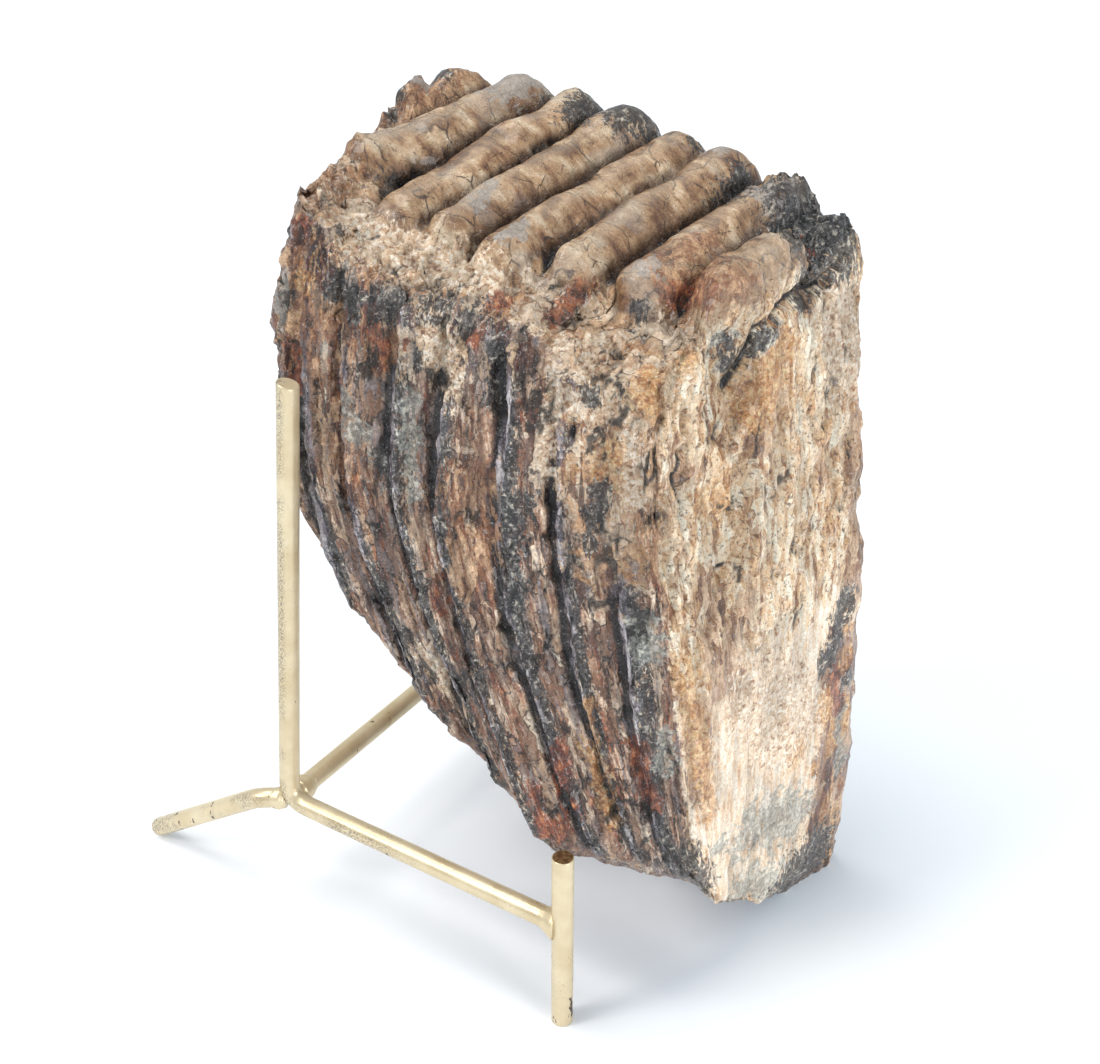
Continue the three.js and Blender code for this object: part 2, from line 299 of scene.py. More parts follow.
# Stains: reach, then a line of places
STAINS = {
    "cream": [
        (5.4, (42, 9, 161), (45, 7, 155), (47, 5, 147)), (2.4, (36, 6, 156), (36, 5, 148)),
        (1.5, (40, 2, 116), (40, 1, 113)), (1.3, (41, 0, 108), (41, 0, 105)),
        (2.6, (68, 12, 161), (70, 10, 150), (67, 9, 140), (69, 8, 128)), (3.2, (39, 3, 86), (52, -1, 73)),
        (7, (20, 16, 168), (48, 16, 167)), (14, (104, 40, 72), (107, 52, 58)),
        (9, (105, 66, 156), (107, 72, 140)), (3, (76, 14, 158), (74, 10, 146)),
        (3.4, (84, 14, 144), (85, 14, 127)), (2.6, (79, 12, 150), (77, 10, 139)),
    ],
    "coal": [
        (4.2, (20, 8, 161), (33, 10, 159), (45, 12, 161), (57, 14, 157)), (3, (57, 9, 156), (58, 7, 144)),
        (2, (24, 8, 160), (25, 6, 146)), (1.8, (33, 8, 160), (33, 6, 150)), (1.6, (39, 8, 158), (40, 6, 149)),
        (5.5, (42, 68, 187), (41, 78, 187)), (6.5, (51, 72, 187), (53, 80, 182)), (3.5, (58, 78, 182)),
        (3.4, (67, 75, 182)), (4.5, (82, 62, 174), (80, 72, 176)),
        (9, (94, 66, 174), (92, 76, 176), (103, 70, 168)), (1.2, (27, 66, 190), (28, 74, 190)),
        (2, (17, 13, 171)), (2.6, (0, 56, 184)), (4, (98, 54, 170), (92, 60, 174)),
        (4, (106, 77, 171), (104, 66, 165), (102, 54, 160)),
        (1.2, (104, 68, 161.5), (102, 60, 160.5), (101.5, 51, 161.5), (100, 43, 160), (99, 37, 157.5)),
        (0.9, (99, 37, 157.5), (97.5, 36.5, 154), (97, 35, 151), (95.5, 34, 148.5), (94.5, 33, 146)),
        (2.8, (94.5, 31.5, 156), (95.5, 33, 153)),
        (2.4, (99.6, 43, 156.7), (99, 39, 155.5), (97.5, 36.2, 152.2)),
        (1.8, (95, 33.5, 153), (95.3, 34, 149.5)), (4.4, (112, 70, 82), (111, 64, 69)), (3, (113, 73, 60)),
        (10.5, (112, 67, 9), (109, 58, 5)), (5, (97, 16, 40), (100, 22, 28)),
        (3.4, (63, 5, 126), (63, 3, 104)), (2.6, (79, 12, 130), (76, 11, 116)), (2.6, (80, 22, 164)),
        (2.6, (76, 11, 149)), (1.8, (85, 16, 151)), (3, (15, 33, 178)), (3.5, (-2, 60, 188)),
        (3, (4, 70, 190)),
    ],
    "rust": [
        (2.8, (54, 14, 163), (52, 9, 156)), (3, (67, 23, 165), (64, 17, 160)),
        (1.6, (29, 8, 160), (30, 6, 148)), (1.6, (36, 8, 160), (37, 6, 152)),
        (4, (83, 28, 166), (90, 30, 166), (92, 42, 168)), (3, (76, 0, 70), (79, -2, 51)),
        (2.6, (71, -3, 62), (76, -4, 50)), (2, (44, 3, 112), (47, 0, 98)), (2.4, (61, 10, 150), (62, 8, 142)),
        (2.8, (112, 67, 67), (113, 70, 52)), (4, (95, 58, 174), (99, 60, 170)),
        (2.4, (14, 12, 168), (10, 12, 172)), (2.6, (28, 8, 158), (30, 6, 150)),
        (3, (88, 12, 70), (92, 12, 56)), (2.4, (8, 6, 146), (9, 5, 138)),
    ],
    "ochre": [
        (3, (92, 21, 157)), (4.4, (89, 15, 153), (87, 14, 150)), (6.5, (99, 38, 141), (102, 46, 152)),
        (3.6, (101, 44, 151), (100.4, 39.5, 149), (99.3, 37, 144)), (6, (96, 28, 122)), (5, (108, 55, 47)),
        (2.4, (112, 67, 60), (112, 69, 42)), (3, (97, 27, 150), (98, 28, 140)),
        (3.6, (95, 19, 84), (98, 22, 66), (100, 24, 48)), (2.8, (79, 6, 80), (82, 5, 66), (86, 6, 52)),
        (4, (79, 12, 138), (80, 12, 132)), (5, (16, 14, 166), (12, 10, 160)),
    ],
    "umber": [
        (5, (101, 43, 150), (98, 36, 142)), (5.5, (111, 75, 140), (113, 74, 84)),
        (4.5, (112, 69, 60), (113, 70, 32)), (4, (86, 44, 174), (80, 30, 170)),
        (6, (10, 9, 163), (11, 7, 148)), (5.5, (5, 24, 177), (12, 12, 167)), (8, (-4, 52, 184), (2, 70, 188)),
        (3.5, (22, 12, 168), (28, 9, 165)), (6, (18, 8, 153), (32, 8, 152)),
        (5, (99, 24, 106), (101, 28, 90), (103, 33, 74)), (4, (98, 20, 78), (100, 21, 56)),
        (6, (52, 4, 128), (54, 2, 108)), (5, (20, 5, 140), (24, 3, 118)), (4.5, (103, 36, 99), (100, 30, 86)),
        (3, (97, 24, 93), (99, 26, 78)), (5, (101, 42, 142), (100, 38, 134)),
        (5, (84, 13, 127), (88, 15, 122)), (4, (92, 22, 132)), (3, (105, 40, 29)), (5, (108, 60, 120)),
        (6.5, (93, 33, 167), (88, 30, 166)),
    ],
    "slate": [
        (3.6, (88, 14, 99), (89, 14, 92)), (2.6, (93, 15, 72), (95, 15, 64)),
        (8, (104, 40, 34), (109, 57, 28)), (6, (103, 38, 18), (106, 48, 12)),
        (2.6, (112, 70, 58), (113, 73, 34)), (2.8, (114, 74, 59)), (2.6, (101.5, 44, 156), (100, 40, 154.5)),
        (2, (93, 30.5, 156), (95.5, 33, 156), (94.5, 32.5, 151)), (3.6, (52, 23, 175)), (3.6, (1, 66, 189)),
        (3, (79, 29, 170)), (6, (22, 70, 191), (26, 78, 190)), (4, (88, 64, 177)), (3, (72, 72, 183)),
        (2.4, (38, 38, 180), (40, 30, 177)), (4, (102, 28, 36)), (2.6, (22, 2, 139), (34, 1, 120)),
        (2.4, (38, 5, 144), (40, 1, 122)),
    ],
}


def through(stations, x):
    """A smooth curve through stations [x, ...values], at every x."""
    stations = np.array(stations, float)
    last = len(stations) - 1
    i = np.clip(np.searchsorted(stations[:, 0], x) - 1, 0, last - 1)
    slopes = np.diff(stations[:, 1:], axis=0) / np.diff(stations[:, 0])[:, None]
    tangent = np.vstack([slopes[:1], (slopes[:-1] + slopes[1:]) / 2, slopes[-1:]])
    p, q = stations[i], stations[i + 1]
    h = (q[:, 0] - p[:, 0])[:, None]
    s = np.clip((x - p[:, 0]) / h[:, 0], 0, 1)[:, None]
    start = (1 + 2 * s) * (1 - s) ** 2 * p[:, 1:] + s * (1 - s) ** 2 * h * tangent[i]
    end = s * s * (3 - 2 * s) * q[:, 1:] + s * s * (s - 1) * h * tangent[i + 1]
    return (start + end).T


def side_face(crown, broken, u, t):
    top_along, top_across, top_height = through(crown, u)
    low_along, low_across, low_height = through(broken, u)
    height = low_height + (top_height - low_height) * t
    least = np.minimum(low_height, SWEEP_HEIGHT - SWEEP_LEAST)
    sweep = np.clip((SWEEP_HEIGHT - height) / (SWEEP_HEIGHT - least), 0, 1) ** SWEEP_POWER
    across = low_across + (top_across - low_across) * t
    return top_along + (low_along - top_along) * sweep, across, height


def cube_surface():
    """Points and faces of a unit cube's surface on a lattice, welded along its edges."""
    index = {}
    faces = []
    for axis, ends in ((2, (1, 0)), (1, (0, 1)), (0, (0, 1))):
        spans = [range(count) for other, count in enumerate(CELLS) if other != axis]
        for (i, j), end in itertools.product(itertools.product(*spans), ends):
            # counted so that every face turns its front outward
            if end == (axis != 1):
                corners = [(i, j), (i + 1, j), (i + 1, j + 1), (i, j + 1)]
            else:
                corners = [(i, j), (i, j + 1), (i + 1, j + 1), (i + 1, j)]
            keys = [(*corner[:axis], end * CELLS[axis], *corner[axis:]) for corner in corners]
            faces.append([index.setdefault(key, len(index)) for key in keys])
    return np.array(list(index)) / CELLS, faces


def round_cube(points):
    inner = np.clip(points, EDGE_ROUNDING, 1 - EDGE_ROUNDING)
    out = (points - inner) / EDGE_ROUNDING
    reach = np.maximum(lengths(out)[:, None], 1e-9)
    return inner + out / reach * EDGE_ROUNDING


def plate_share(u, height):
    """Each point's plate, and its share of the way from that plate's crest to the next."""
    crests = np.array([r[0] for r in RIBS])
    wander = RIB_WANDER * np.sin(2 * math.pi * height[:, None] / RIB_WAVE + RIB_PHASE * crests)
    crests = crests + wander
    plate = np.clip((u[:, None] > crests).sum(axis=1) - 1, 0, len(crests) - 2)
    rows = np.arange(len(u))
    start, stop = crests[rows, plate], crests[rows, plate + 1]
    return plate, np.clip((u - start) / (stop - start), 0, 1)


cube, faces = cube_surface()
u, v, t = round_cube(cube).T
near = side_face(CROWN_NEAR, BREAK_NEAR, u, t)
far = side_face(CROWN_FAR, BREAK_FAR, u, t)
near_across = near[1] + through(NEAR_BULGE, u)[0] * np.sin(math.pi * t)
fuller = (1 - (1 - v) ** BREAK_BELLY) * (1 - t) + v * t
along = near[0] + (far[0] - near[0]) * v
across = near_across + (far[1] - near_across) * v
height = near[2] + (far[2] - near[2]) * fuller

on_near = np.clip(1 - v / SKIN, 0, 1)
on_far = np.clip((v - 1) / SKIN + 1, 0, 1)
on_end = np.clip((u - 1) / SKIN + 1, 0, 1)
on_back = np.clip(1 - u / SKIN, 0, 1)
on_crown = np.clip((t - RIM_WIDTH) / (1 - RIM_WIDTH), 0, 1)
on_base = np.clip(1 - t / (1 - RIM_WIDTH), 0, 1)
on_side = np.maximum(on_near, on_far)

# A smooth place for noise, and one drawn out along the plates
place = np.stack([along, across, height], axis=1)
grain = np.stack([u * PLATE_LENGTH, across, height], axis=1)
warp = np.stack([fractal(place, 9, 3, seed) for seed in (11, 12, 13)], axis=1)

# --- ribs: a crest that drops steeply to a groove on its left and slopes away on its right
plate, share = plate_share(u + 0.006 * noise(place * (1, 1, 0.4), 9, 21), height)
rises = np.array([r[1] for r in RIBS])
rise = (rises[plate] + (rises[plate + 1] - rises[plate]) * share) / RIB_NUMBER
rib = np.interp(share, *zip(*RIB_SECTION)) * rise - 0.6
rib_fade = np.clip((1 - t) / RIB_FADE, 0, 1)
# the near face's upper right is a sheet of cement over the ribs
sheet = on_near * step_up(u + 0.05 * warp[:, 0], *SHEET_ALONG)
sheet *= step_up(height + 8 * warp[:, 1], *SHEET_HEIGHT)
sheet = np.maximum(sheet, on_far * step_up(fractal(place, 34, 3, 62), 0.12, 0.35))
sheet = np.maximum(sheet, on_back * step_up(v, 0.15, 0.35) * step_up(fractal(place, 30, 3, 63), -0.1, 0.2))
rib = rib * rib_fade * (1 - 0.8 * sheet) + sheet
across += (on_far - on_near) * rib

# --- end face
lost = (1 - step_up(v, *STEP_ACROSS)) * step_up(height, *STEP_HEIGHT)
along -= on_end * STEP_DEPTH * lost
along += (on_end * END_BULGE * v - on_back * BACK_BULGE * (1 - v)) * np.sin(math.pi * t)

# --- chewing ridges
lines = []
for i, (a0, n0, a1, n1, half) in enumerate(RIDGES):
    line = np.stack([across, np.full_like(across, 37.0 * i), np.zeros_like(across)], axis=1)
    center = a0 + (a1 - a0) * (across - n0) / (n1 - n0) + 1.5 * noise(line, 15, 31)
    girth = half * (1 + 0.12 * noise(line, 9, 32) + 0.05 * noise(line, 3.5, 34))
    girth = girth * (0.8 + 0.2 * step_up(across, n0, n0 + 18))
    lift = 1 + 0.14 * noise(line, 11, 33)
    for owner, knot, swell in KNOTS:
        if owner == i:
            girth = girth * (1 + swell * bump((across - knot) / 4))
            lift = lift + 0.9 * swell * bump((across - knot) / 4)
    start = np.clip((across - n0) / RIDGE_END + RIDGE_SINK[0], 0, 1)
    finish = np.clip((n1 - across) / RIDGE_END + RIDGE_SINK[1], 0, 1)
    lines.append((center, girth, lift, np.sqrt(start * finish)))

ridge = np.zeros(len(u))
roof = np.full(len(u), -20.0)
for i, (center, girth, lift, present) in enumerate(lines):
    toward = (along > center).astype(int) * 2 - 1
    gap = np.full(len(u), 30.0)
    for side, other in ((-1, i - 1), (1, i + 1)):
        if 0 <= other < len(lines):
            gap = np.where(toward == side, np.abs(lines[other][0] - center), gap)
    reach = np.clip(RIDGE_CROWDING * gap, 0.75 * girth, 1.3 * girth)
    aside = np.clip(np.abs(along - center) / reach, 0, 1)
    log = RIDGE_TOP * lift - np.clip(1.2 * reach, 7, 9.5) * (1 - np.sqrt(1 - aside**2))
    log = log - RIDGE_DROP * (1 - present)
    roof = np.maximum(roof, np.where(aside < 1, log, -20))
    ridge = np.maximum(ridge, (1 - aside) * present)

ends = np.array([r[:4] for r in RIDGES], float)
from_near = across - np.interp(along, ends[:, 0], ends[:, 1])
edge_across, edge_along, slope = CROWN_EDGE
inside = step_up(from_near + 1.5 * warp[:, 2], 0, slope)
inside *= step_up(edge_across - across, 0, 6) * step_up(edge_along - along, 0, 8)
rim_floor = np.interp(along, *zip(*RIM_FLOOR))
floor = rim_floor + (VALLEY_FLOOR - rim_floor) * inside
crust = fractal(place + 2 * warp, 7, 4, 41)
shards = cells(place + 1.2 * warp, 4.2, 44)
crumbs = 1.1 * crust + 2.2 * (shards[2] - 0.5) + 1.6 * (0.5 - shards[0])
rocks = cells(place + 2.5 * warp, 8.0, 46)
rubble = 3.0 * (rocks[2] - 0.5) + 4.0 * (0.5 - rocks[0]) + 0.8 * crust - 1.2 * seam(rocks, 0.12)
far_crust = step_up(along + across + 4 * warp[:, 0], *FAR_CRUST) * step_up(along, *FAR_CRUST_ALONG)
black_crust = np.maximum(far_crust, step_up(-along + 3 * warp[:, 1], *BACK_CRUST))
broken = np.maximum(step_up(along, *END_CRUST), black_crust)
roof += broken * (0.9 * crumbs - 1.2) + black_crust * rubble
height += on_crown * np.maximum(floor + crumbs * (1 - 0.4 * inside), roof)

points = np.stack([along, across, height], axis=1)


def normals_of(points, faces):
    quads = np.array(faces)
    corner = points[quads]
    normal = np.cross(corner[:, 2] - corner[:, 0], corner[:, 3] - corner[:, 1])
    total = np.zeros_like(points)
    for k in range(4):
        np.add.at(total, quads[:, k], normal)
    return total / np.maximum(lengths(total)[:, None], 1e-9)


# --- roughness of the whole surface, along the normals
normals = normals_of(points, faces)
fibre = fractal(grain * (1, 1, 0.16) + 0.6 * warp, 3.2, 3, 51)
grit = fractal(points, 2.6, 2, 52)
lump = fractal(points, 12, 2, 53)
flakes = cells((grain + 1.2 * warp) * (1, 1, 0.2), 3.4, 54)
blocks = cells((place + 1.5 * warp) * (1, 1, 0.45), 6.5, 55)
porous = step_up(fractal(points, 16, 2, 55), 0.0, 0.5) * step_up(height, *POROUS_HEIGHT)
pits = step_up(noise(points * (1, 1, 0.7), 1.9, 56), 0.2, 0.65)
on_ends = np.maximum(on_end, on_back)
low_end = on_end * (1 - step_up(height + 10 * warp[:, 2], *SMOOTH_HEIGHT))
knob = np.maximum(0, 1 - np.abs(share - 0.1) / 0.16)

bare_side = on_side * (1 - sheet)
relief = bare_side * (0.7 * fibre + 0.35 * grit + 1.1 * (flakes[2] - 0.5) + knob * 0.4 * grit)
relief += sheet * (1.6 * (blocks[2] - 0.5) + 0.7 * fibre + 0.5 * grit)
relief += on_ends * (1 - low_end) * (0.8 * fibre + 0.6 * grit + 1.1 * (blocks[2] - 0.5))
relief += low_end * (0.6 * fibre + 0.15 * grit + 0.5 * (flakes[2] - 0.5))
relief -= on_end * porous * pits * 1.2
dents = step_up(noise(points, 3.0, 58), 0.3, 0.7)
plain = on_crown * (1 - step_up(ridge, 0.02, 0.3))
relief += on_crown * (0.2 * grit + 0.3 * noise(place, 5, 59) - 0.35 * dents)
relief += plain * (0.6 * grit + 0.5 * fractal(place, 4, 3, 61))
seams = np.maximum(0.8 * on_side * seam(flakes, 0.1), plain * seam(shards, 0.1))
seams = np.maximum((1 - low_end) * (1 - on_crown) * seam(blocks, 0.08), seams)
seams *= step_up(noise(points, 7, 60), -0.1, 0.4)
relief -= 0.7 * seams
# painted shade in the hollows of the fine relief and painted light on its raised spots, from 0 to 1
wear_and_relief_shade = np.clip(0.5 + 0.45 * relief, 0, 1)
relief += 0.6 * lump - 0.6 + on_base * 0.9 * fractal(points, 6, 3, 57)
rough_place = points + 0.7 * warp
for width, depth, *path in CUTS:
    relief -= depth * bump(away_from(path, rough_place) / width)
for reach, rise, middle in LUMPS:
    relief += rise * bump(away_from(middle, rough_place) / reach)
points = points + normals * relief[:, None]
points[:, 2] = np.maximum(points[:, 2], 0)

# --- marks for the colours
nearest = np.where(share < 0.5, share, share - 1)  # from the nearest crest, in shares of a plate
# where the rib colours go: bevel for the crests' lilac with its painted highlight, band for the charcoal with
# painted shade, groove for painted shade
bevel = bump((nearest + 0.06) / 0.19) * (on_near + 0.7 * on_far) * rib_fade * (1 - sheet)
band = bump((nearest - 0.14) / 0.12) * bare_side
band *= np.maximum(step_up(u, *BAND_ALONG), 1 - step_up(height, *BAND_HEIGHT))
groove = bump((nearest + 0.23) / 0.045) * bare_side * rib_fade
strip = on_end * step_up(across + 2.5 * warp[:, 1], *STRIP_ACROSS)
strip *= 1 - step_up(height + 4 * warp[:, 0], *STRIP_HEIGHT)
under_rim = on_near * step_up(height + 2 * warp[:, 1], *UNDER_RIM_HEIGHT)
under_rim *= 1 - step_up(u + 0.03 * warp[:, 0], *UNDER_RIM_ALONG)
stain = {}
for kind, blots in STAINS.items():
    stain[kind] = np.zeros(len(u))
    for reach, *path in blots:
        stain[kind] = np.maximum(stain[kind], bump(away_from(path, points + 1.2 * warp) / reach))
cut_mark = np.zeros(len(u))
for width, depth, *path in CUTS:
    cut_mark = np.maximum(cut_mark, bump(away_from(path, rough_place) / min(0.8 * width, 1)))

# ---------------- into the part's frame

cos, sin = math.cos(TOOTH_HEADING), math.sin(TOOTH_HEADING)
world = np.stack(
    [
        points[:, 0] * cos - points[:, 1] * sin + HUB[0],
        points[:, 0] * sin + points[:, 1] * cos + HUB[1],
        points[:, 2],
    ],
    axis=1,
)
lowest, highest = (np.array(c) / MM for c in cad_box)
world = np.clip(world, lowest, highest)


def new_mesh(name, points, faces, material):
    mesh = bpy.data.meshes.new(name)
    mesh.from_pydata((np.asarray(points) * MM).tolist(), [], [list(f) for f in faces])
    mesh.update()
    mesh.shade_smooth()
    mesh.materials.append(material)
    piece = add_object(name, mesh)
    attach(piece, "root")
    return piece


def add_vectors(piece, name, channels):
    attribute = piece.data.attributes.new(name, "FLOAT_VECTOR", "POINT")
    attribute.data.foreach_set("vector", np.stack(channels, axis=1).astype(np.float32).ravel())


# ---------------- node helpers


def linear(red, green, blue):
    """A colour given as 0-255 screen values."""
    values = [c / 255 for c in (red, green, blue)]
    return tuple(c / 12.92 if c <= 0.04045 else ((c + 0.055) / 1.055) ** 2.4 for c in values) + (1,)


class Tree:
    """A few shorthands for building a material's nodes. Colours are 0-255 screen values."""

    def __init__(self, name):
        self.material = bpy.data.materials.new(name)
        self.material.use_nodes = True
        self.nodes = self.material.node_tree.nodes
        self.links = self.material.node_tree.links
        self.shader = self.nodes["Principled BSDF"]

    def put(self, socket, value):
        if isinstance(value, bpy.types.NodeSocket):
            self.links.new(value, socket)
        else:
            socket.default_value = linear(*value) if socket.type == "RGBA" else value

    def fill(self, node, inputs):
        for name, value in inputs.items():
            self.put(node.inputs[name.replace("_", " ")], value)

    def node(self, kind, settings=(), **inputs):
        node = self.nodes.new("ShaderNode" + kind)
        for name, value in settings:
            setattr(node, name, value)
        self.fill(node, inputs)
        return node

    def attribute(self, name):
        return self.node("Attribute", [("attribute_name", name)]).outputs["Vector"]

    def split(self, vector):
        return self.node("SeparateXYZ", Vector=vector).outputs

    def marks(self, name):
        return self.split(self.attribute(name))

    def calculated(self, kind, operation, a, b):
        node = self.node(kind, [("operation", operation)])
        self.put(node.inputs[0], a)
        self.put(node.inputs[1], b)
        return node.outputs[0]

    def added(self, a, b):
        return self.calculated("VectorMath", "ADD", a, b)

    def scaled(self, vector, x, y, z):
        return self.calculated("VectorMath", "MULTIPLY", vector, (x, y, z))

    def shifted(self, vector, scale, *reach):
        """Places moved about by a noise, by up to half the reach along each axis."""
        node = self.node("TexNoise", Vector=vector, Scale=scale, Detail=2)
        offset = self.added(node.outputs["Color"], (-0.5, -0.5, -0.5))
        return self.added(vector, self.scaled(offset, *reach))

    def math(self, operation, *values):
        """One operation carried from value to value."""
        total = values[0]
        for value in values[1:]:
            total = self.calculated("Math", operation, total, value)
        return total

    sum = partialmethod(math, "ADD")
    less = partialmethod(math, "SUBTRACT")
    both = partialmethod(math, "MULTIPLY")
    most = partialmethod(math, "MAXIMUM")

    def noise(self, vector, scale, detail=3, rough=0.55, distortion=0.0):
        settings = {"Scale": scale, "Detail": detail, "Roughness": rough, "Distortion": distortion}
        return self.node("TexNoise", Vector=vector, **settings).outputs["Fac"]

    def cracks(self, vector, scale):
        feature = [("feature", "DISTANCE_TO_EDGE")]
        return self.node("TexVoronoi", feature, Vector=vector, Scale=scale).outputs["Distance"]

    def grains(self, vector, scale):
        """Small cells, each with its own number, and the distance from their middles."""
        node = self.node("TexVoronoi", Vector=vector, Scale=scale)
        return self.split(node.outputs["Color"])[0], node.outputs["Distance"]

    def band(self, value, low, high):
        """0 below low, 1 above high, smooth between; falls instead where low is above high."""
        falls = float(low > high)
        low, high = min(low, high), max(low, high)
        limits = {"From_Min": low, "From_Max": high, "To_Min": falls, "To_Max": 1 - falls}
        smooth = [("interpolation_type", "SMOOTHSTEP")]
        return self.node("MapRange", smooth, Value=value, **limits).outputs["Result"]

    def over(self, under, colour, *factors):
        """A colour laid over another, as thick as all the factors together."""
        node = self.node("Mix", [("data_type", "RGBA")])
        for socket, value in ((0, self.both(*factors)), (6, under), (7, colour)):
            self.put(node.inputs[socket], value)
        return node.outputs[2]

    def layers(self, colour, *coats):
        """Coats laid over a colour in turn, each a colour and its factors."""
        for coat, *factors in coats:
            colour = self.over(colour, coat, *factors)
        return colour

    def ramp(self, value, *stops):
        """Colours through stops: position, red, green, blue."""
        node = self.node("ValToRGB")
        elements = node.color_ramp.elements
        while len(elements) < len(stops):
            elements.new(1.0)
        for element, (position, *colour) in zip(elements, stops):
            element.position = position
            element.color = linear(*colour)
        self.put(node.inputs[0], value)
        return node.outputs[0]

    def hairlines(self, vector, scale, width=0.012, detail=2):
        """Thin wandering lines."""
        away = self.math("ABSOLUTE", self.less(self.noise(vector, scale, detail), 0.5), 0.0)
        return self.band(away, width, 0.0)

    def ragged(self, mask, edge, gain=2.6):
        """A mask broken up by a noise from 0 to 1."""
        edge = self.both(self.less(edge, 0.5), gain, self.band(mask, 0.02, 0.2))
        return self.band(self.sum(mask, edge), 0.4, 0.6)

    def shaded(self, colour, value, darkest, lightest):
        """A colour made darker or lighter by a noise."""
        limits = {"From_Min": 0.38, "From_Max": 0.62, "To_Min": darkest, "To_Max": lightest}
        factor = self.node("MapRange", Value=value, **limits).outputs["Result"]
        node = self.node("VectorMath", [("operation", "SCALE")], Scale=factor)
        self.put(node.inputs[0], colour)
        return node.outputs[0]

    def bumped(self, height, strength, distance, normal=None):
        node = self.node("Bump", Height=height, Strength=strength, Distance=distance)
        if normal is not None:
            self.put(node.inputs["Normal"], normal)
        return node.outputs["Normal"]

    def finish(self, **looks):
        """The material, with its shader's sockets filled."""
        self.fill(self.shader, looks)
        return self.material


# ---------------- materials


